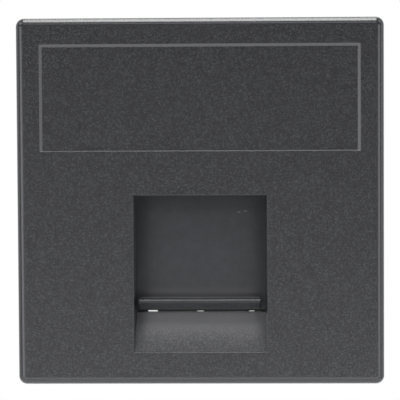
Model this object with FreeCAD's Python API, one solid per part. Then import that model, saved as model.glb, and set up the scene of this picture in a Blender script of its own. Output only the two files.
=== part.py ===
import FreeCAD, Part
import os

# Keystone faceplate module: a square snap-in data plate with a label field and a sprung dust shutter.
# X points right seen from the front, Y points back into the wall and Z points up, in millimetres.
# The origin is the centre of the plane where the rim rests on its support frame.
# A depth is counted from the front face backwards, so a depth equal to rim_depth lies at Y = 0.

# Plate and skirt
plate_size = 45.0
rim_depth = 5.0
corner_radius = 1.0
edge_round = 0.95
face_wall = 2.0
seat_width = 1.2
skirt_wall = 1.4
skirt_depth = 6.0
skirt_lead_in = 0.4
plate_half = plate_size / 2
skirt_half = plate_half - seat_width
cavity_half = skirt_half - skirt_wall
total_depth = rim_depth + skirt_depth

# Label field
label_half = 19.65
label_top = 19.34
label_bottom = 6.20
label_depth = 0.14
label_slope = 0.36
label_step = 0.12

# Port and finger ramp
port_half = 8.19
port_back_half = 7.93
port_top = 0.80
port_edge_round = 0.1
foot_depth = 0.12
ramp_foot = -18.50
sill_height = -13.795
sill_front = 2.6
sill_back = 4.0
border_width = 1.25

# Dust shutter
shutter_gap = 0.1
shutter_rest_gap = 0.045
shutter_stop_gap = 0.13
shutter_thickness = 1.3
shutter_half = 13.2
shutter_bottom = sill_height + shutter_rest_gap
shutter_top = 2.2
shutter_front = sill_front + shutter_gap
shutter_back = shutter_front + shutter_thickness
lip_left = -7.75
lip_right = 7.375
lip_top = -12.08
lip_bottom = -13.46
lip_reach = 1.8
lip_undercut = 1.5
lip_bevel_depth = 0.105
lip_bevel_height = 0.44
lip_edge_round = 0.18
lip_root_round = 0.15
foot_step = 0.45
shutter_travel = port_top - lip_top - shutter_stop_gap

# Light notches under the shutter: place along X, width and height
light_notches = [(-6.03, 1.18, 0.12), (-0.15, 0.80, 0.06), (6.23, 0.64, 0.06)]

# Return springs, one in a slot on each side of the shutter
spring_x = 10.9
spring_forward = 0.25
spring_depth = (shutter_front + shutter_back) / 2 - spring_forward
spring_radius = 0.95
spring_bore_radius = 0.75
slot_half = 1.3
slot_floor = -11.0
spring_seat = 12.2
spring_gap = 0.05
post_half = 1.0
spigot_radius = 0.45
spigot_length = 5.5

# Shutter rails and jack carrier
rail_gap = 0.2
rail_width = 1.4
rail_bottom = -17.0
track_gap = 0.2
carrier_front = shutter_back + track_gap
carrier_base = 1.4
carrier_half = 16.0
carrier_gap = 0.1
carrier_depth = 13.0
carrier_wall = 1.4
jack_half = 7.4
jack_bottom = -16.0
jack_top = 0.6
ledge_height = 1.0
ledge_depth = 1.8
window_half = 4.0
window_length = 2.5
window_start = 8.0
jack_lead_in = 0.5
housing_round = 0.6
base_round = 1.0
gusset_heights = (-12.5, -2.9)
gusset_half = 0.6
gusset_width = 4.5
gusset_length = 5.5

# Hooks that hold the carrier
hook_height = 11.0
hook_half = 2.0
hook_wall = 1.2
hook_catch = 0.6
hook_play = 0.05
hook_nose = 1.4

# Snap tongues that hold the plate in its frame
tongue_half = 6.5
slit_width = 1.0
slit_start = 0.8
barb_half = 5.5
barb_start = 2.1
barb_land = 0.5
barb_length = 2.9
barb_rise = 0.8

overcut = 1.0
same_place = 1e-6


def block(x, depth, z):
    """A box given by its low and high places along X, by depth and along Z."""
    corner = FreeCAD.Vector(x[0], depth[0] - rim_depth, z[0])
    return Part.makeBox(x[1] - x[0], depth[1] - depth[0], z[1] - z[0], corner)


def prism(points, direction):
    """A solid made by pushing a flat outline along a direction."""
    corners = [FreeCAD.Vector(*point) for point in points]
    outline = Part.makePolygon(corners + corners[:1])
    return Part.Face(outline).extrude(FreeCAD.Vector(*direction))


def side_prism(points, x):
    """An outline of (depth, Z) points pushed along X."""
    corners = [(x[0], depth - rim_depth, z) for depth, z in points]
    return prism(corners, (x[1] - x[0], 0, 0))


def top_prism(points, z):
    """An outline of (X, depth) points pushed along Z."""
    corners = [(x, depth - rim_depth, z[0]) for x, depth in points]
    return prism(corners, (0, 0, z[1] - z[0]))


def tapered(near, near_depth, far, far_depth):
    """A space between two rectangles at different depths, each given as X and Z spans."""
    outlines = []
    for (x, z), depth in ((near, near_depth), (far, far_depth)):
        corners = [(x[0], z[0]), (x[1], z[0]), (x[1], z[1]), (x[0], z[1])]
        points = [FreeCAD.Vector(across, depth - rim_depth, up) for across, up in corners]
        outlines.append(Part.makePolygon(points + points[:1]))
    return Part.makeLoft(outlines, True, True)


def mirrored(shape):
    """The same shape on the other side of the module's middle plane."""
    return shape.mirror(FreeCAD.Vector(0, 0, 0), FreeCAD.Vector(1, 0, 0))


def both_sides(shapes):
    """Each shape with its mirror image, left and right."""
    return shapes + [mirrored(shape) for shape in shapes]


def edges_at_depth(shape, depth):
    """The edges that lie wholly at one depth."""
    place = depth - rim_depth
    return [edge for edge in shape.Edges
            if abs(edge.BoundBox.YMin - place) < same_place and abs(edge.BoundBox.YMax - place) < same_place]


def edges_along_depth(shape):
    """The straight edges that run from front to back."""
    return [edge for edge in shape.Edges if edge.BoundBox.YLength > edge.Length - same_place]


def rounded_square(half, depth, radius):
    """A square slab with rounded corners."""
    slab = block((-half, half), depth, (-half, half))
    return slab.makeFillet(radius, edges_along_depth(slab))


def rim():
    """The front slab, rounded all round its front edge."""
    slab = rounded_square(plate_half, (0, rim_depth), corner_radius)
    return slab.makeFillet(edge_round, edges_at_depth(slab, 0))


def tray():
    """The rim and its skirt, hollowed from behind."""
    skirt = rounded_square(skirt_half, (rim_depth - overcut, total_depth), corner_radius)
    skirt = skirt.makeChamfer(skirt_lead_in, edges_at_depth(skirt, total_depth))
    span = (-cavity_half, cavity_half)
    hollow = block(span, (face_wall, total_depth + overcut), span)
    return rim().fuse(skirt).cut(hollow)


def label_field():
    """The space of the sunken label field: three sloping walls and a steep lower one."""
    slope = label_slope / label_depth
    steep = label_step / label_depth
    spans = []
    for depth in (-overcut, label_depth):
        half = label_half - slope * depth
        spans.append(((-half, half), (label_bottom + steep * depth, label_top - slope * depth)))
    return tapered(spans[0], -overcut, spans[1], label_depth)


def port_space():
    """The space of the port: drafted sides above a finger ramp that ends in a low ledge."""
    reach = shutter_back + overcut
    outline = [
        (-overcut, port_top),
        (reach, port_top),
        (reach, sill_height),
        (sill_front, sill_height),
        (foot_depth, ramp_foot),
        (-overcut, ramp_foot),
    ]
    draft = (port_half - port_back_half) / sill_front
    mouth_half = port_half + draft * overcut
    plan = [
        (-mouth_half, -overcut),
        (mouth_half, -overcut),
        (port_back_half, sill_front),
        (port_back_half, reach),
        (-port_back_half, reach),
        (-port_back_half, sill_front),
    ]
    sides = side_prism(outline, (-plate_half, plate_half))
    return sides.common(top_prism(plan, (-plate_half, plate_half)))


def ramp_backing():
    """The sloping wall behind the finger ramp, with the flat sill on top."""
    ramp_rise = (sill_height - ramp_foot) / (sill_front - foot_depth)
    back_foot = sill_height - (sill_back - face_wall) * ramp_rise
    inside = face_wall / 2
    half = port_back_half + border_width
    outline = [(inside, back_foot), (inside, sill_height), (sill_back, sill_height), (face_wall, back_foot)]
    return side_prism(outline, (-half, half))


def shutter_runners():
    """Low ribs that the shutter slides on: one up each side of the port and one above it."""
    outer = port_back_half + border_width
    upright = block((port_back_half, outer), (face_wall, sill_front), (sill_height, spring_seat))
    header = block((-outer, outer), (face_wall, sill_front), (port_top, port_top + border_width))
    return both_sides([upright]) + [header]


def shutter_rails():
    """Walls beside the shutter, which also carry the jack carrier."""
    inner = shutter_half + rail_gap
    wall = block((inner, inner + rail_width), (face_wall, carrier_front), (rail_bottom, cavity_half))
    return both_sides([wall])


def spring_posts():
    """Posts above the springs, each with a spigot that keeps its spring straight."""
    span = (spring_x - post_half, spring_x + post_half)
    post = block(span, (face_wall, sill_back), (spring_seat, cavity_half))
    foot = FreeCAD.Vector(spring_x, spring_depth - rim_depth, spring_seat - spigot_length)
    spigot = Part.makeCylinder(spigot_radius, spigot_length, foot)
    return both_sides([post, spigot])


def carrier_hooks():
    """Four springy hooks that snap over the edges of the jack carrier."""
    inner = carrier_half + carrier_gap
    catch = carrier_front + carrier_base + hook_play
    outline = [
        (inner, face_wall),
        (inner + hook_wall, face_wall),
        (inner + hook_wall, catch + hook_nose),
        (inner, catch + hook_nose),
        (inner - hook_catch, catch),
        (inner, catch),
    ]
    hooks = []
    for middle in (-hook_height, hook_height):
        hooks.append(top_prism(outline, (middle - hook_half, middle + hook_half)))
    return both_sides(hooks)


def upper_tongue_slits():
    """The two slits that free the upper snap tongue from the skirt."""
    slit = block(
        (tongue_half, tongue_half + slit_width),
        (rim_depth + slit_start, total_depth + overcut),
        (cavity_half - overcut, skirt_half + overcut),
    )
    return both_sides([slit])


def upper_barb():
    """The wedge on the upper snap tongue that catches behind the frame."""
    catch = rim_depth + barb_start
    root = skirt_half - skirt_wall / 2
    outline = [
        (catch, root),
        (catch, skirt_half + barb_rise),
        (catch + barb_land, skirt_half + barb_rise),
        (catch + barb_length, skirt_half),
        (catch + barb_length, root),
    ]
    return side_prism(outline, (-barb_half, barb_half))


def upside_down(shape):
    """The same shape at the lower edge of the module."""
    return shape.mirror(FreeCAD.Vector(0, 0, 0), FreeCAD.Vector(0, 0, 1))


def port_mouth_edges(shape):
    """The edges where the port meets the front face."""
    return [edge for edge in edges_at_depth(shape, 0)
            if edge.BoundBox.XMax < port_half + same_place
            and edge.BoundBox.XMin > -port_half - same_place
            and edge.BoundBox.ZMax < port_top + same_place
            and edge.BoundBox.ZMin > ramp_foot - same_place]


def face_plate():
    """The front moulding."""
    inner = shutter_runners() + shutter_rails() + spring_posts() + carrier_hooks()
    plate = tray().fuse([ramp_backing()] + inner).cut(port_space()).removeSplitter()
    plate = plate.makeFillet(port_edge_round, port_mouth_edges(plate))
    plate = plate.cut(label_field())
    slits = upper_tongue_slits()
    plate = plate.cut(slits + [upside_down(slit) for slit in slits])
    barb = upper_barb()
    return plate.fuse([barb, upside_down(barb)]).removeSplitter()


def finger_lip():
    """The bar along the shutter's lower edge: flat on top, bevelled, and sloping back underneath.

    Its upper front edge and its ends are rounded.
    """
    front = shutter_front - lip_reach
    crest = front + lip_bevel_depth
    root = (shutter_front + shutter_back) / 2
    outline = [
        (root, lip_top),
        (crest, lip_top),
        (front, lip_top - lip_bevel_height),
        (front + lip_undercut, lip_bottom),
        (root, lip_bottom),
    ]
    bar = side_prism(outline, (lip_left, lip_right))
    edges = [edge for edge in edges_at_depth(bar, crest) if edge.BoundBox.ZMax > lip_top - same_place]
    edges += [edge for edge in bar.Edges
              if edge.BoundBox.XLength < same_place
              and edge.BoundBox.ZLength > same_place
              and edge.BoundBox.YMax < root - rim_depth - same_place]
    return bar.makeFillet(lip_edge_round, edges)


def lip_root():
    """The hollow rounding along the inner corner between the panel and the top of the lip."""
    left = lip_left + lip_edge_round
    right = lip_right - lip_edge_round
    middle_depth = shutter_front - lip_root_round
    middle_height = lip_top + lip_root_round
    corner = block((left, right), (middle_depth, shutter_front), (lip_top, middle_height))
    start = FreeCAD.Vector(left, middle_depth - rim_depth, middle_height)
    hollow = Part.makeCylinder(lip_root_round, right - left, start, FreeCAD.Vector(1, 0, 0))
    return corner.cut(hollow)


def shutter_panel():
    """The flat panel, set back along its foot under the lip."""
    panel = block((-shutter_half, shutter_half), (shutter_front, shutter_back), (shutter_bottom, shutter_top))
    foot = block(
        (-shutter_half, shutter_half),
        (shutter_front, shutter_front + foot_step),
        (shutter_bottom, lip_bottom),
    )
    return panel.cut(foot)


def dust_shutter():
    """The sliding panel with its lip, spring slots and light notches."""
    slot = block(
        (spring_x - slot_half, spring_x + slot_half),
        (shutter_front - overcut, shutter_back + overcut),
        (slot_floor, shutter_top + overcut),
    )
    spaces = both_sides([slot])
    for middle, width, height in light_notches:
        spaces.append(block(
            (middle - width / 2, middle + width / 2),
            (shutter_front, shutter_back + overcut),
            (shutter_bottom - overcut, shutter_bottom + height),
        ))
    return shutter_panel().fuse([finger_lip(), lip_root()]).cut(spaces).removeSplitter()


def return_spring(side):
    """The outer form of one compression spring, from the shutter's slot up to its post."""
    foot = FreeCAD.Vector(side * spring_x, spring_depth - rim_depth, slot_floor + spring_gap)
    length = spring_seat - slot_floor - spring_gap
    bore = Part.makeCylinder(spring_bore_radius, length, foot)
    return Part.makeCylinder(spring_radius, length, foot).cut(bore)


def carrier_plate():
    """The flat base of the carrier, cut back where the snap tongues bend."""
    edge = cavity_half - carrier_gap
    depth = (carrier_front, carrier_front + carrier_base)
    base = block((-carrier_half, carrier_half), depth, (-edge, edge))
    base = base.makeFillet(base_round, edges_along_depth(base))
    relief_half = tongue_half + slit_width
    relief = block((-relief_half, relief_half), depth, (edge - skirt_wall, edge))
    return base.cut([relief, upside_down(relief)])


def jack_housing():
    """The box around the jack, stiffened on each side by gussets."""
    base_back = carrier_front + carrier_base
    outer = jack_half + carrier_wall
    depth = (base_back, carrier_depth)
    box = block((-outer, outer), depth, (jack_bottom - carrier_wall, jack_top + carrier_wall))
    box = box.makeFillet(housing_round, edges_along_depth(box))
    outline = [
        (outer - carrier_wall, base_back),
        (outer + gusset_width, base_back),
        (outer, base_back + gusset_length),
        (outer - carrier_wall, base_back + gusset_length),
    ]
    gussets = [top_prism(outline, (middle - gusset_half, middle + gusset_half)) for middle in gusset_heights]
    return box.fuse(both_sides(gussets))


def jack_space():
    """The space for the jack, wider at its rear mouth, and the windows that its catches snap into."""
    span = ((-jack_half, jack_half), (jack_bottom, jack_top))
    half = jack_half + jack_lead_in + overcut
    mouth = ((-half, half), (jack_bottom - jack_lead_in - overcut, jack_top + jack_lead_in + overcut))
    spaces = [
        block(span[0], (carrier_front - overcut, carrier_depth + overcut), span[1]),
        tapered(span, carrier_depth - jack_lead_in, mouth, carrier_depth + overcut),
    ]
    for low in (jack_top, jack_bottom - carrier_wall):
        spaces.append(block(
            (-window_half, window_half),
            (window_start, window_start + window_length),
            (low, low + carrier_wall),
        ))
    return spaces


def jack_carrier():
    """The rear moulding: a base that closes the shutter's track and a housing for one jack."""
    ledge = block(
        (-jack_half, jack_half),
        (carrier_front, carrier_front + ledge_depth),
        (jack_bottom, jack_bottom + ledge_height),
    )
    return carrier_plate().fuse(jack_housing()).cut(jack_space()).fuse(ledge).removeSplitter()


nodes = {
    "face_plate": face_plate(),
    "dust_shutter": dust_shutter(),
    "return_spring_left": return_spring(-1),
    "return_spring_right": return_spring(1),
    "jack_carrier": jack_carrier(),
}

os.makedirs("parts", exist_ok=True)
for name, shape in nodes.items():
    shape.exportStep("parts/" + name + ".step")
    print(name, shape.isValid(), len(shape.Solids), round(shape.Volume, 2))
print("shutter travel", round(shutter_travel, 2))
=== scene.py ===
# %% [markdown]
# # A keystone faceplate module
# The object is a square snap-in data plate of graphite plastic, 45 mm on a side. It has a sunken field
# for a label, a port for one jack, and a sprung dust shutter that a finger lifts by its lip. The solid
# pieces come from an engineering model and stay exactly as they are. This lesson gives them their
# surfaces, winds the two return springs, and sets up a small photo studio around the part.

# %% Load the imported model
import bpy
import math
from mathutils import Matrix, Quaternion, Vector


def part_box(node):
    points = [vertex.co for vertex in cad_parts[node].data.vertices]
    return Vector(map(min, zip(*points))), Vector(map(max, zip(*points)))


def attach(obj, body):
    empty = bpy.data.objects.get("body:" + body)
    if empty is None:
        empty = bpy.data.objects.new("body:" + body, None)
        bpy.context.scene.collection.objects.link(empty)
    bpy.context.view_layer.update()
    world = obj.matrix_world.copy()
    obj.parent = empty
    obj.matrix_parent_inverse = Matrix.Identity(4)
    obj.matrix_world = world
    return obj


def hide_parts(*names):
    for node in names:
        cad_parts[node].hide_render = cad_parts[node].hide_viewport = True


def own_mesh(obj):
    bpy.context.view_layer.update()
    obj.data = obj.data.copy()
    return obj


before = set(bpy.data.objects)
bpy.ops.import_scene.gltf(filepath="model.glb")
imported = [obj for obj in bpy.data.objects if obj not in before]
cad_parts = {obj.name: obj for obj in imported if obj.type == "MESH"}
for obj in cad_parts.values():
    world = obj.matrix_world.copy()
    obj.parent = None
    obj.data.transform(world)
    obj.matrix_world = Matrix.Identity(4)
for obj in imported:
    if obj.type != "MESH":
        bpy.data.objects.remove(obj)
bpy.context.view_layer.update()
mm = 0.001
plate_low, plate_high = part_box("face_plate")
plate_size = plate_high.x - plate_low.x
face_y = plate_low.y
print("nodes", sorted(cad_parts), "plate size in mm", round(plate_size / mm, 2))

# %% [markdown]
# ## Colours and nodes
# Designers pick colours as sRGB hex values, but a shader works with linear light. One function turns
# the first into the second. Another adds a node, sets its properties and fills or links its inputs, so
# that each material below reads as a list of what the surface does.

# %% Helpers for materials


def linear(hex_colour):
    """An sRGB hex colour as linear red, green, blue and alpha."""
    channels = []
    for start in (1, 3, 5):
        value = int(hex_colour[start:start + 2], 16) / 255
        channels.append(value / 12.92 if value <= 0.04045 else ((value + 0.055) / 1.055) ** 2.4)
    return (*channels, 1.0)


def add_node(tree, kind, inputs=None, **settings):
    """One new node, with its properties set and its inputs filled or linked."""
    node = tree.nodes.new(kind)
    for name, value in settings.items():
        setattr(node, name, value)
    for socket, value in (inputs or {}).items():
        if isinstance(value, bpy.types.NodeSocket):
            tree.links.new(value, node.inputs[socket])
        else:
            node.inputs[socket].default_value = value
    return node


def new_material(name):
    """An empty node material and its node tree, ready for a surface shader."""
    material = bpy.data.materials.new(name)
    material.use_nodes = True
    material.node_tree.nodes.clear()
    return material, material.node_tree


def per_size(size_mm):
    """The scale of a texture whose features are this many millimetres across."""
    return 1 / (size_mm * mm)


print("mid grey is", [round(value, 3) for value in linear("#808080")])

# %% [markdown]
# ## The textured front
# The plate is moulded from graphite ABS in a spark-eroded mould. The flat front copies the mould's fine
# pits, so it scatters light and sparkles a little, while the rounded rim and the sloping walls of the
# label field were polished and stay smooth. The normal tells the two apart: only faces that look
# straight ahead get the grain. A Voronoi texture gives each pit its own tone. A high power leaves most
# pits dark and lets a few shine. Real pits are about 0.1 mm across, a little under one pixel here, so
# they are drawn slightly coarser to show. The finger ramp tilts back, so it is found by place instead.
# Fingers have rubbed its middle shiny, and the wall to the right of it too. The middle, most of all near
# the top, is painted pale as painted light, and the wall is painted pale as a painted reflection of the
# ramp. The corners beside the walls are left dark as the walls' painted shadow, and the grain is left
# at the foot.

# %% Where the finger ramp is
ramp_foot_z = -18.5 * mm
ramp_top_z = -13.8 * mm
port_half_x = 8.2 * mm
# How far the ramp's painted light reaches; beside the walls the ramp stays dark as painted shadow.
rub_and_light_half_x = 6.3 * mm
foot_rub_and_light = 0.1
full_grain_share = 0.2
faint_grain_share = 0.75
faint_grain = 0.08


def ramp_place(tree, point):
    """1 within the width and height of the finger ramp and 0 elsewhere."""
    between_walls = add_node(tree, "ShaderNodeMath", {
        0: point.outputs["X"],
        1: 0.0,
        2: port_half_x,
    }, operation="COMPARE")
    between_ends = add_node(tree, "ShaderNodeMath", {
        0: point.outputs["Z"],
        1: (ramp_top_z + ramp_foot_z) / 2,
        2: (ramp_top_z - ramp_foot_z) / 2,
    }, operation="COMPARE")
    return add_node(tree, "ShaderNodeMath", {
        0: between_walls.outputs[0],
        1: between_ends.outputs[0],
    }, operation="MULTIPLY")


def ramp_mask(tree, here, normal):
    """1 on the tilted face of the finger ramp."""
    tilted = add_node(tree, "ShaderNodeMapRange", {
        "Value": normal.outputs["Y"],
        "From Min": -0.80,
        "From Max": -0.85,
    })
    return add_node(tree, "ShaderNodeMath", {
        0: here.outputs[0],
        1: tilted.outputs[0],
    }, operation="MULTIPLY")


def wall_mask(tree, here, normal):
    """1 on the wall to the right of the finger ramp, which faces left and gets a painted reflection."""
    leftward = add_node(tree, "ShaderNodeMapRange", {
        "Value": normal.outputs["X"],
        "From Min": -0.85,
        "From Max": -0.95,
    })
    return add_node(tree, "ShaderNodeMath", {
        0: here.outputs[0],
        1: leftward.outputs[0],
    }, operation="MULTIPLY")


def ramp_rub_and_painted_light_mask(tree, point, on_ramp):
    """1 where the ramp is rubbed glossy and painted light, fading to painted wall shadow and towards its
    foot.
    """
    aside = add_node(tree, "ShaderNodeMath", {0: point.outputs["X"]}, operation="ABSOLUTE")
    clear_of_wall_shade = add_node(tree, "ShaderNodeMapRange", {
        "Value": aside.outputs[0],
        "From Min": port_half_x,
        "From Max": rub_and_light_half_x,
    }, interpolation_type="SMOOTHSTEP")
    above_foot = add_node(tree, "ShaderNodeMapRange", {
        "Value": point.outputs["Z"],
        "From Min": ramp_foot_z,
        "From Max": ramp_top_z,
        "To Min": foot_rub_and_light,
    }, interpolation_type="SMOOTHSTEP")
    rub_and_painted_light = add_node(tree, "ShaderNodeMath", {
        0: clear_of_wall_shade.outputs[0],
        1: above_foot.outputs[0],
    }, operation="MULTIPLY")
    return add_node(tree, "ShaderNodeMath", {
        0: on_ramp.outputs[0],
        1: rub_and_painted_light.outputs[0],
    }, operation="MULTIPLY")


def ramp_grain(tree, point, on_ramp):
    """How much grain is left on the ramp: all at its foot, hardly any near the shutter."""
    ramp_height = ramp_top_z - ramp_foot_z
    left = add_node(tree, "ShaderNodeMapRange", {
        "Value": point.outputs["Z"],
        "From Min": ramp_foot_z + full_grain_share * ramp_height,
        "From Max": ramp_foot_z + faint_grain_share * ramp_height,
        "To Min": 1.0,
        "To Max": faint_grain,
    })
    return add_node(tree, "ShaderNodeMath", {
        0: on_ramp.outputs[0],
        1: left.outputs[0],
    }, operation="MULTIPLY")


print("finger ramp", round((ramp_top_z - ramp_foot_z) / mm, 2), "mm high")

# %% The grain
grain_mm = 0.14
cloud_mm = 1.8
cloud_drift = 0.06
sparkle_power = 2.2


def pit_tone(tree, place):
    """A tone for each pit of the grain, drifting slightly from place to place, and the pits themselves."""
    pits = add_node(tree, "ShaderNodeTexVoronoi", {
        "Vector": place.outputs["Object"],
        "Scale": per_size(grain_mm),
    })
    pit_value = add_node(tree, "ShaderNodeSeparateColor", {"Color": pits.outputs["Color"]})
    # Beside the grain's own random tone, this paints shade in most pits and glints on a few.
    sparkle = add_node(tree, "ShaderNodeMath", {
        0: pit_value.outputs["Red"],
        1: sparkle_power,
    }, operation="POWER")
    clouds = add_node(tree, "ShaderNodeTexNoise", {
        "Vector": place.outputs["Object"],
        "Scale": per_size(cloud_mm),
        "Detail": 2.0,
    })
    drift = add_node(tree, "ShaderNodeMapRange", {
        "Value": clouds.outputs["Fac"],
        "From Min": 0.3,
        "From Max": 0.7,
        "To Min": -cloud_drift,
        "To Max": cloud_drift,
    })
    tone = add_node(tree, "ShaderNodeMath", {0: sparkle.outputs[0], 1: drift.outputs[0]}, operation="ADD")
    return tone, pits


print("pits drawn", grain_mm, "mm across")

# %% Textured graphite ABS
abs_ior = 1.54
edge_tone = 0.45
edge_roughness = 0.24
face_roughness = 0.46
rubbed_roughness = 0.36
pit_depth = 0.02 * mm


def plate_colour(tree, tone, rub_and_painted_light):
    """Graphite that is paler where light is painted on, each from its own pair of tones."""
    plain_colour = add_node(tree, "ShaderNodeMix", {
        "Factor": tone.outputs[0],
        "A": linear("#1B1B1E"),
        "B": linear("#3C3D41"),
    }, data_type="RGBA")
    # Painted light: this paler pair goes on the ramp's middle and on the wall beside it.
    painted_light_colour = add_node(tree, "ShaderNodeMix", {
        "Factor": tone.outputs[0],
        "A": linear("#464648"),
        "B": linear("#79797C"),
    }, data_type="RGBA")
    return add_node(tree, "ShaderNodeMix", {
        "Factor": rub_and_painted_light.outputs[0],
        "A": plain_colour.outputs["Result"],
        "B": painted_light_colour.outputs["Result"],
    }, data_type="RGBA")


def plate_roughness(tree, matt, rub_and_painted_light):
    """Glossy edges, a matt face, and a gloss between the two where fingers rub."""
    unrubbed = add_node(tree, "ShaderNodeMapRange", {
        "Value": matt.outputs[0],
        "To Min": edge_roughness,
        "To Max": face_roughness,
    })
    return add_node(tree, "ShaderNodeMix", {
        "Factor": rub_and_painted_light.outputs[0],
        "A": unrubbed.outputs[0],
        "B": rubbed_roughness,
    }, data_type="FLOAT")


def textured_abs():
    """Graphite ABS with a spark-eroded front, smooth edges and a rubbed ramp with painted light and shadow.
    """
    material, tree = new_material("ABS_graphite_spark_eroded")
    place = add_node(tree, "ShaderNodeTexCoord")
    normal = add_node(tree, "ShaderNodeSeparateXYZ", {"Vector": place.outputs["Normal"]})
    point = add_node(tree, "ShaderNodeSeparateXYZ", {"Vector": place.outputs["Object"]})
    flat = add_node(tree, "ShaderNodeMapRange", {
        "Value": normal.outputs["Y"],
        "From Min": -0.985,
        "From Max": -0.999,
    })
    here = ramp_place(tree, point)
    on_ramp = ramp_mask(tree, here, normal)
    # Painted light on the ramp and the wall beside it, and painted shadow at the ramp's sides.
    rub_and_painted_light = add_node(tree, "ShaderNodeMath", {
        0: ramp_rub_and_painted_light_mask(tree, point, on_ramp).outputs[0],
        1: wall_mask(tree, here, normal).outputs[0],
    }, operation="MAXIMUM")
    grain = ramp_grain(tree, point, on_ramp)
    grainy = add_node(tree, "ShaderNodeMath", {
        0: flat.outputs[0],
        1: grain.outputs[0],
    }, operation="MAXIMUM")
    matt = add_node(tree, "ShaderNodeMath", {
        0: flat.outputs[0],
        1: on_ramp.outputs[0],
    }, operation="MAXIMUM")
    tone, pits = pit_tone(tree, place)
    tone_here = add_node(tree, "ShaderNodeMix", {
        "Factor": grainy.outputs[0],
        "A": edge_tone,
        "B": tone.outputs[0],
    }, data_type="FLOAT")
    bump = add_node(tree, "ShaderNodeBump", {
        "Strength": grainy.outputs[0],
        "Distance": pit_depth,
        "Height": pits.outputs["Distance"],
    })
    surface = add_node(tree, "ShaderNodeBsdfPrincipled", {
        "Base Color": plate_colour(tree, tone_here, rub_and_painted_light).outputs["Result"],
        "Roughness": plate_roughness(tree, matt, rub_and_painted_light).outputs[0],
        "IOR": abs_ior,
        "Normal": bump.outputs["Normal"],
    })
    add_node(tree, "ShaderNodeOutputMaterial", {"Surface": surface.outputs[0]})
    return material


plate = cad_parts["face_plate"]
plate.material_slots[0].material = textured_abs()
print("face_plate:", plate.material_slots[0].material.name)

# %% [markdown]
# ## The smooth shutter
# The shutter comes out of a polished mould, so it is the same graphite plastic with a satin surface.
# It is painted darker at its sides and top as the painted shade of the port, and paler in its middle.
# A strip just above the lip is painted paler as painted light where the lip's shade falls, and dust
# dulls the inner corner. The lip is painted paler by the way its faces turn, most on its sloping upper
# front as a painted highlight, and stays glossy. Each of these is a mask: a number from 0 to 1, worked
# out from the place or the normal of a point, that mixes two colours or two levels of gloss. Something
# hard has left two short pale scuffs near the upper right corner. Each scuff is a stretched round spot:
# the distance from its middle is measured in lengths along X and in widths along Z, so that 1 is its edge.

# %% Where light and shade are painted on the shutter
shutter_face_y = -2.3 * mm
panel_slack = 0.03 * mm
port_top_z = 0.8 * mm
lip_top_z = -12.1 * mm
# The panel is painted darker towards its sides and top, as the port's painted shade.
unshaded_half_x = 5.6 * mm
unshaded_top_z = -2.8 * mm
# A strip of painted light above the lip, where the lip's shade falls.
lip_light_height = 1.8 * mm
full_lip_light_height = 0.2 * mm
# How pale the lip is painted as a highlight on its sloping front, and a little underneath.
lip_highlight = 0.34
lip_shade = 0.1
scuff_places = [(4.67 * mm, -1.43 * mm), (5.50 * mm, -1.31 * mm)]
scuff_length = 0.32 * mm
scuff_width = 0.09 * mm


def scuff_marks(tree, place):
    """A mask of the scuffs: 1 in the middle of each, 0 away from them."""
    marks = None
    for across, up in scuff_places:
        offset = add_node(tree, "ShaderNodeVectorMath", {
            0: place.outputs["Object"],
            1: (across, shutter_face_y, up),
        }, operation="SUBTRACT")
        stretched = add_node(tree, "ShaderNodeVectorMath", {
            0: offset.outputs["Vector"],
            1: (1 / scuff_length, 1 / scuff_width, 1 / scuff_width),
        }, operation="MULTIPLY")
        distance = add_node(tree, "ShaderNodeVectorMath", {
            0: stretched.outputs["Vector"],
        }, operation="LENGTH")
        mark = add_node(tree, "ShaderNodeMapRange", {
            "Value": distance.outputs["Value"],
            "From Min": 1.0,
            "From Max": 0.3,
        })
        if marks is None:
            marks = mark
        else:
            marks = add_node(tree, "ShaderNodeMath", {
                0: marks.outputs[0],
                1: mark.outputs[0],
            }, operation="MAXIMUM")
    return marks


def out_of_port_shade_mask(tree, point):
    """1 in the middle of the panel, fading towards its sides and top, where the port's shade is painted."""
    aside = add_node(tree, "ShaderNodeMath", {0: point.outputs["X"]}, operation="ABSOLUTE")
    clear_of_wall_shade = add_node(tree, "ShaderNodeMapRange", {
        "Value": aside.outputs[0],
        "From Min": port_half_x,
        "From Max": unshaded_half_x,
    }, interpolation_type="SMOOTHSTEP")
    below_top = add_node(tree, "ShaderNodeMapRange", {
        "Value": point.outputs["Z"],
        "From Min": port_top_z,
        "From Max": unshaded_top_z,
    }, interpolation_type="SMOOTHSTEP")
    return add_node(tree, "ShaderNodeMath", {
        0: clear_of_wall_shade.outputs[0],
        1: below_top.outputs[0],
    }, operation="MULTIPLY")


def above_lip_light_mask(tree, point, out_of_port_shade):
    """1 on the strip just above the lip, where painted light lifts the lip's shade, fading out upwards."""
    low = add_node(tree, "ShaderNodeMapRange", {
        "Value": point.outputs["Z"],
        "From Min": lip_top_z + lip_light_height,
        "From Max": lip_top_z + full_lip_light_height,
    }, interpolation_type="SMOOTHSTEP")
    return add_node(tree, "ShaderNodeMath", {0: low.outputs[0], 1: out_of_port_shade.outputs[0]}, operation="MULTIPLY")


def lip_highlight_mask(tree, normal):
    """How pale the lip is painted: a highlight on its sloping front, a little underneath and none on top."""
    above = add_node(tree, "ShaderNodeMapRange", {
        "Value": normal.outputs["Z"],
        "From Min": -0.3,
        "From Max": 0.1,
        "To Min": lip_shade,
        "To Max": lip_highlight,
    })
    below_top = add_node(tree, "ShaderNodeMapRange", {
        "Value": normal.outputs["Z"],
        "From Min": 0.95,
        "From Max": 0.8,
        "To Max": lip_highlight,
    })
    return add_node(tree, "ShaderNodeMath", {
        0: above.outputs[0],
        1: below_top.outputs[0],
    }, operation="MINIMUM")


print("shutter face", round(shutter_face_y / mm, 2), "mm in Y, with", len(scuff_places), "scuffs")

# %% Satin graphite ABS
smudge_mm = 1.2
panel_roughness = 0.34
lip_roughness = 0.22
corner_roughness = 0.75
corner_reach = 0.8 * mm


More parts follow.
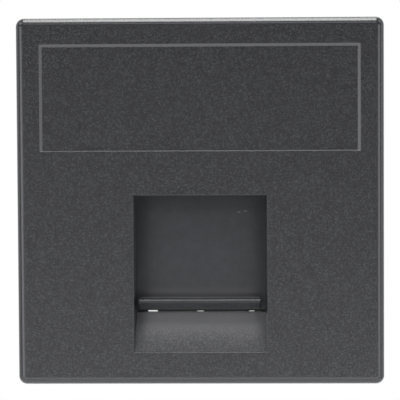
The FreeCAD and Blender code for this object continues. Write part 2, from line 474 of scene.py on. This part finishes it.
def shutter_colour(tree, place, out_of_port_shade, painted_light):
    """Slightly cloudy graphite with painted shade and painted light, and paler where it is scuffed."""
    clouds = add_node(tree, "ShaderNodeTexNoise", {
        "Vector": place.outputs["Object"],
        "Scale": per_size(smudge_mm),
        "Detail": 6.0,
        "Roughness": 0.7,
    })
    plain_colour = add_node(tree, "ShaderNodeMix", {
        "Factor": clouds.outputs["Fac"],
        "A": linear("#222326"),
        "B": linear("#353639"),
    }, data_type="RGBA")
    # Painted shade: the darker pair stays at the panel's sides and top, this paler pair fills its middle.
    unshaded_colour = add_node(tree, "ShaderNodeMix", {
        "Factor": clouds.outputs["Fac"],
        "A": linear("#2A2A2D"),
        "B": linear("#45464A"),
    }, data_type="RGBA")
    shaded_panel = add_node(tree, "ShaderNodeMix", {
        "Factor": out_of_port_shade.outputs[0],
        "A": plain_colour.outputs["Result"],
        "B": unshaded_colour.outputs["Result"],
    }, data_type="RGBA")
    # Painted light: paler above the lip and on the lip's sloping front.
    with_painted_light = add_node(tree, "ShaderNodeMix", {
        "Factor": painted_light.outputs[0],
        "A": shaded_panel.outputs["Result"],
        "B": linear("#525255"),
    }, data_type="RGBA")
    return add_node(tree, "ShaderNodeMix", {
        "Factor": scuff_marks(tree, place).outputs[0],
        "A": with_painted_light.outputs["Result"],
        "B": linear("#6C6D70"),
    }, data_type="RGBA")


def shutter_roughness(tree, point, on_lip):
    """A satin panel and a glossy lip, with a dull corner between them."""
    on_lip_roughness = add_node(tree, "ShaderNodeMapRange", {
        "Value": point.outputs["Y"],
        "From Min": shutter_face_y - corner_reach,
        "From Max": shutter_face_y - 0.5 * corner_reach,
        "To Min": lip_roughness,
        "To Max": corner_roughness,
    })
    return add_node(tree, "ShaderNodeMix", {
        "Factor": on_lip.outputs[0],
        "A": panel_roughness,
        "B": on_lip_roughness.outputs[0],
    }, data_type="FLOAT")


def satin_abs():
    """Graphite ABS from a polished mould, scuffed, with painted shade and painted light."""
    material, tree = new_material("ABS_graphite_satin")
    place = add_node(tree, "ShaderNodeTexCoord")
    point = add_node(tree, "ShaderNodeSeparateXYZ", {"Vector": place.outputs["Object"]})
    normal = add_node(tree, "ShaderNodeSeparateXYZ", {"Vector": place.outputs["Normal"]})
    on_panel = add_node(tree, "ShaderNodeMath", {
        0: point.outputs["Y"],
        1: shutter_face_y,
        2: panel_slack,
    }, operation="COMPARE")
    on_lip = add_node(tree, "ShaderNodeMath", {
        0: point.outputs["Y"],
        1: shutter_face_y - panel_slack,
    }, operation="LESS_THAN")
    out_of_port_shade = add_node(tree, "ShaderNodeMath", {
        0: on_panel.outputs[0],
        1: out_of_port_shade_mask(tree, point).outputs[0],
    }, operation="MULTIPLY")
    painted_light = add_node(tree, "ShaderNodeMix", {
        "Factor": on_lip.outputs[0],
        "A": above_lip_light_mask(tree, point, out_of_port_shade).outputs[0],
        "B": lip_highlight_mask(tree, normal).outputs[0],
    }, data_type="FLOAT")
    surface = add_node(tree, "ShaderNodeBsdfPrincipled", {
        "Base Color": shutter_colour(tree, place, out_of_port_shade, painted_light).outputs["Result"],
        "Roughness": shutter_roughness(tree, point, on_lip).outputs[0],
        "IOR": abs_ior,
    })
    add_node(tree, "ShaderNodeOutputMaterial", {"Surface": surface.outputs[0]})
    return material


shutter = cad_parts["dust_shutter"]
shutter.material_slots[0].material = satin_abs()
print("dust_shutter:", shutter.material_slots[0].material.name)

# %% [markdown]
# ## The carrier behind
# The carrier is out of sight once the module is fitted, so its mould was left plain. The plastic flowed
# in from one side, which leaves soft clouds of slightly different gloss.

# %% Plain moulded ABS
flow_mm = 5.0


def plain_abs():
    """Dark ABS from an unpolished mould."""
    material, tree = new_material("ABS_graphite_plain_moulded")
    place = add_node(tree, "ShaderNodeTexCoord")
    flow = add_node(tree, "ShaderNodeTexNoise", {
        "Vector": place.outputs["Object"],
        "Scale": per_size(flow_mm),
        "Detail": 4.0,
        "Distortion": 0.8,
    })
    colour = add_node(tree, "ShaderNodeMix", {
        "Factor": flow.outputs["Fac"],
        "A": linear("#3A3B3D"),
        "B": linear("#434447"),
    }, data_type="RGBA")
    roughness = add_node(tree, "ShaderNodeMapRange", {
        "Value": flow.outputs["Fac"],
        "To Min": 0.38,
        "To Max": 0.55,
    })
    surface = add_node(tree, "ShaderNodeBsdfPrincipled", {
        "Base Color": colour.outputs["Result"],
        "Roughness": roughness.outputs[0],
        "IOR": abs_ior,
    })
    add_node(tree, "ShaderNodeOutputMaterial", {"Surface": surface.outputs[0]})
    return material


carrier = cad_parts["jack_carrier"]
carrier.material_slots[0].material = plain_abs()
print("jack_carrier:", carrier.material_slots[0].material.name)

# %% [markdown]
# ## Return springs
# Two fine compression springs push the shutter shut. The engineering model keeps each as a plain tube,
# which is all that motion needs. A real one is drawn steel wire wound on a mandrel, with the last turns
# at each end closed up to give a flat seat. A Screw modifier winds a small circle into a coil of even
# pitch. Moving its rings then closes the end turns.

# %% Spring steel wire
wire_radius = 0.1 * mm
wire_sides = 10
coil_turns = 30
steps_per_turn = 28
closed_turns = 2.0
draw_mark_mm = 0.12


def drawn_steel():
    """Bright spring steel with fine marks from drawing the wire."""
    material, tree = new_material("spring_steel_drawn")
    place = add_node(tree, "ShaderNodeTexCoord")
    marks = add_node(tree, "ShaderNodeTexNoise", {
        "Vector": place.outputs["Object"],
        "Scale": per_size(draw_mark_mm),
        "Detail": 2.0,
    })
    roughness = add_node(tree, "ShaderNodeMapRange", {
        "Value": marks.outputs["Fac"],
        "To Min": 0.22,
        "To Max": 0.40,
    })
    colour = add_node(tree, "ShaderNodeMix", {
        "Factor": marks.outputs["Fac"],
        "A": linear("#A9AAAD"),
        "B": linear("#C6C7C9"),
    }, data_type="RGBA")
    surface = add_node(tree, "ShaderNodeBsdfPrincipled", {
        "Base Color": colour.outputs["Result"],
        "Metallic": 1.0,
        "Roughness": roughness.outputs[0],
    })
    add_node(tree, "ShaderNodeOutputMaterial", {"Surface": surface.outputs[0]})
    return material


spring_steel = drawn_steel()
print("wire of", 2 * wire_radius / mm, "mm in", spring_steel.name)

# %% How to wind a spring


def wound_height(turn, length):
    """The height of the wire's middle after so many turns: tight at both ends, even between them."""
    tight = 2 * wire_radius
    open_turns = coil_turns - 2 * closed_turns
    open_pitch = (length - tight * (1 + 2 * closed_turns)) / open_turns
    low = min(turn, closed_turns)
    middle = min(max(turn - closed_turns, 0), open_turns)
    high = max(turn - closed_turns - open_turns, 0)
    return wire_radius + tight * (low + high) + open_pitch * middle


def wire_ring(name, coil_radius):
    """The round section of the wire, stood upright at the radius of the coil."""
    bpy.ops.object.select_all(action="DESELECT")
    bpy.ops.mesh.primitive_circle_add(vertices=wire_sides, radius=wire_radius)
    coil = bpy.context.object
    coil.name = name
    bpy.ops.object.mode_set(mode="EDIT")
    bpy.ops.mesh.select_all(action="SELECT")
    bpy.ops.transform.rotate(value=math.pi / 2, orient_axis="X", center_override=(0, 0, 0))
    bpy.ops.transform.translate(value=(coil_radius, 0, 0))
    bpy.ops.object.mode_set(mode="OBJECT")
    return coil


def wind_wire(coil, length):
    """Winds the ring into a coil of this length and closes up its end turns."""
    pitch = length / coil_turns
    screw = coil.modifiers.new("winding", "SCREW")
    screw.axis = "Z"
    screw.screw_offset = pitch
    screw.iterations = coil_turns
    screw.steps = steps_per_turn
    screw.render_steps = steps_per_turn
    bpy.ops.object.modifier_apply(modifier=screw.name)
    for vertex in coil.data.vertices:
        turn = (vertex.index // wire_sides) / steps_per_turn
        vertex.co.z += wound_height(turn, length) - turn * pitch


def cap_wire_ends():
    """Fills the two open ends of the wire and turns all faces outwards."""
    bpy.ops.object.mode_set(mode="EDIT")
    bpy.ops.mesh.select_all(action="DESELECT")
    bpy.ops.mesh.select_mode(type="EDGE")
    bpy.ops.mesh.select_non_manifold(use_wire=False, use_multi_face=False, use_non_contiguous=False)
    bpy.ops.mesh.edge_face_add()
    bpy.ops.mesh.select_all(action="SELECT")
    bpy.ops.mesh.normals_make_consistent(inside=False)
    bpy.ops.object.mode_set(mode="OBJECT")


def wind_spring(name, node_name):
    """A coil that fills the space of one plain spring tube."""
    low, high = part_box(node_name)
    coil = wire_ring(name, (high.x - low.x) / 2 - wire_radius)
    wind_wire(coil, high.z - low.z)
    cap_wire_ends()
    bpy.ops.transform.translate(value=((low.x + high.x) / 2, (low.y + high.y) / 2, low.z))
    bpy.ops.object.transform_apply(location=True, rotation=True, scale=True)
    bpy.ops.object.shade_smooth_by_angle(angle=math.radians(40))
    return coil


print("each spring has", coil_turns, "turns,", closed_turns, "of them closed at each end")

# %% Wind and place both springs
for side in ("left", "right"):
    tube = "return_spring_" + side
    spring = wind_spring("coil_spring_" + side, tube)
    spring.data.materials.append(spring_steel)
    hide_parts(tube)
    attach(spring, "plate")
    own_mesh(spring)
    print(spring.name, len(spring.data.polygons), "faces")

# %% [markdown]
# ## Floor and background
# The part hangs a little above a pale table, because it has no foot to stand on. The table takes its
# shadow and throws light back up. It fades out into a white background, so that no edge of it shows.
# The world is white where the camera looks straight at it. All other rays see a bright wall behind the
# part and a dark room in front of it, as in a photo studio, so that only the softboxes and the table
# light the front. Mirrored rays see the wall as white as the camera does, so that shiny edges show the
# same background.

# %% Table and world
floor_z = plate_low.z - 40 * mm
floor_radius = 0.2
fade_start_share = 0.4
fade_end_share = 0.95
floor_glow = 0.5
room_level = 0.0
wall_level = 0.6


def table_material():
    """A pale table top that fades out towards its edge and glows softly upwards."""
    material, tree = new_material("pale_table")
    place = add_node(tree, "ShaderNodeTexCoord")
    distance = add_node(tree, "ShaderNodeVectorMath", {0: place.outputs["Object"]}, operation="LENGTH")
    fade = add_node(tree, "ShaderNodeMapRange", {
        "Value": distance.outputs["Value"],
        "From Min": fade_start_share * floor_radius,
        "From Max": fade_end_share * floor_radius,
    }, interpolation_type="SMOOTHSTEP")
    rays = add_node(tree, "ShaderNodeLightPath")
    top = add_node(tree, "ShaderNodeBsdfDiffuse", {"Color": linear("#D9D9D9")})
    glow_here = add_node(tree, "ShaderNodeMapRange", {
        "Value": rays.outputs["Is Camera Ray"],
        "To Min": floor_glow,
        "To Max": 0.0,
    })
    glow = add_node(tree, "ShaderNodeEmission", {"Strength": glow_here.outputs[0]})
    lit = add_node(tree, "ShaderNodeAddShader", {0: top.outputs[0], 1: glow.outputs[0]})
    clear = add_node(tree, "ShaderNodeBsdfTransparent")
    surface = add_node(tree, "ShaderNodeMixShader", {
        0: fade.outputs[0],
        1: lit.outputs[0],
        2: clear.outputs[0],
    })
    add_node(tree, "ShaderNodeOutputMaterial", {"Surface": surface.outputs[0]})
    return material


def studio_world():
    """White for the camera; a bright wall behind and a dark room in front for all other rays."""
    world = bpy.data.worlds.new("studio")
    world.use_nodes = True
    tree = world.node_tree
    tree.nodes.clear()
    direction = add_node(tree, "ShaderNodeTexCoord")
    parts = add_node(tree, "ShaderNodeSeparateXYZ", {"Vector": direction.outputs["Generated"]})
    rays = add_node(tree, "ShaderNodeLightPath")
    wall = add_node(tree, "ShaderNodeMapRange", {
        "Value": rays.outputs["Is Glossy Ray"],
        "To Min": wall_level,
        "To Max": 1.0,
    })
    level = add_node(tree, "ShaderNodeMapRange", {
        "Value": parts.outputs["Y"],
        "From Min": -0.2,
        "From Max": 0.5,
        "To Min": room_level,
        "To Max": wall.outputs[0],
    }, interpolation_type="SMOOTHSTEP")
    seen = add_node(tree, "ShaderNodeMath", {
        0: rays.outputs["Is Camera Ray"],
        1: rays.outputs["Is Transmission Ray"],
    }, operation="MAXIMUM")
    strength = add_node(tree, "ShaderNodeMix", {
        "Factor": seen.outputs[0],
        "A": level.outputs[0],
        "B": 1.0,
    }, data_type="FLOAT")
    background = add_node(tree, "ShaderNodeBackground", {
        "Color": linear("#FFFFFF"),
        "Strength": strength.outputs[0],
    })
    add_node(tree, "ShaderNodeOutputWorld", {"Surface": background.outputs[0]})
    return world


bpy.ops.object.select_all(action="DESELECT")
bpy.ops.mesh.primitive_circle_add(
    vertices=96,
    radius=floor_radius,
    fill_type="NGON",
    location=(0, 0, floor_z),
)
floor = bpy.context.object
floor.name = "table"
floor.data.materials.append(table_material())
bpy.context.scene.world = studio_world()
print("table", round(-floor_z / mm, 1), "mm below the middle of the plate")

# %% [markdown]
# ## Lights
# Dark plastic shows mostly what it mirrors, so each light is placed for one face or edge of the plate.
# Three lights overhead, from the front to just behind, make the upper edge shine as one band. A dim one
# at 38 degrees lights the finger ramp, and two high ones light the upper corners. Two large softboxes
# stand in front at 45 degrees: they light the face and draw the thin lines down its rounded sides. Two
# tall ones stand beside the part, and a small card below throws light up at the lower half. Each is
# given by its direction, distance, size and brightness, where a brightness of 1 looks white.

# %% Softboxes
softboxes = {
    "overhead_behind": {"azimuth": 180, "elevation": 66, "distance": 0.5, "size": (0.2, 0.105), "level": 7.0},
    "overhead_back": {"azimuth": 0, "elevation": 95, "distance": 0.5, "size": (0.2, 0.105), "level": 10.5},
    "overhead_front": {"azimuth": 0, "elevation": 77, "distance": 0.5, "size": (0.2, 0.21), "level": 11.0},
    "ramp_light": {"azimuth": 0, "elevation": 38, "distance": 0.5, "size": (0.2, 0.14), "level": 2.6},
    "high_left": {"azimuth": -60, "elevation": 42, "distance": 0.5, "size": (0.32, 0.22), "level": 3.3},
    "high_right": {"azimuth": 70, "elevation": 42, "distance": 0.5, "size": (0.2, 0.2), "level": 3.5},
    "front_left": {"azimuth": -45, "elevation": -7, "distance": 0.45, "size": (0.27, 0.26), "level": 3.15},
    "front_right": {"azimuth": 45, "elevation": -6, "distance": 0.45, "size": (0.27, 0.26), "level": 2.7},
    "side_left": {"azimuth": -88, "elevation": 3, "distance": 0.5, "size": (0.13, 0.35), "level": 1.2},
    "side_right": {"azimuth": 88, "elevation": 3, "distance": 0.5, "size": (0.13, 0.35), "level": 2.2},
    "low_card": {"azimuth": 0, "elevation": -40, "distance": 0.09, "size": (0.12, 0.05), "level": 1.4},
}


def hang_softbox(name, azimuth, elevation, distance, size, level):
    """One soft area light that faces the middle of the plate's front."""
    turn = math.radians(azimuth)
    rise = math.radians(elevation)
    out = Vector((math.sin(turn) * math.cos(rise), -math.cos(turn) * math.cos(rise), math.sin(rise)))
    bpy.ops.object.light_add(type="AREA", location=Vector((0, face_y, 0)) + out * distance)
    lamp = bpy.context.object
    lamp.name = name
    lamp.rotation_euler = out.to_track_quat("Z", "Y").to_euler()
    lamp.data.shape = "RECTANGLE"
    lamp.data.size = size[0]
    lamp.data.size_y = size[1]
    lamp.data.energy = level * math.pi * size[0] * size[1]
    lamp.visible_camera = False
    return lamp


for name, setting in softboxes.items():
    lamp = hang_softbox(name, **setting)
    print(name, round(lamp.data.energy, 3), "W")

# %% [markdown]
# ## Camera
# A product photo of a small part is taken with a long lens from close by, which keeps its edges nearly
# parallel. This camera stands 0.3 m away, slightly above and to the right, and is turned by a third of
# a degree.

# %% Camera
camera_place = Vector((10.05, -304.27, 18.55)) * mm
camera_aim = Vector((-0.01, -5.0, 0.24)) * mm
camera_turn = math.radians(-0.32)
sensor_mm = 36.0
lens_mm = 220.67

bpy.ops.object.camera_add(location=camera_place)
camera = bpy.context.object
camera.name = "camera"
straight = (camera_aim - camera_place).to_track_quat("-Z", "Y")
camera.rotation_euler = (straight @ Quaternion((0, 0, 1), camera_turn)).to_euler()
camera.data.sensor_fit = "HORIZONTAL"
camera.data.sensor_width = sensor_mm
camera.data.lens = lens_mm
bpy.context.scene.camera = camera
bpy.context.scene.view_settings.view_transform = "Standard"
print("camera at", [round(value, 4) for value in camera.location])
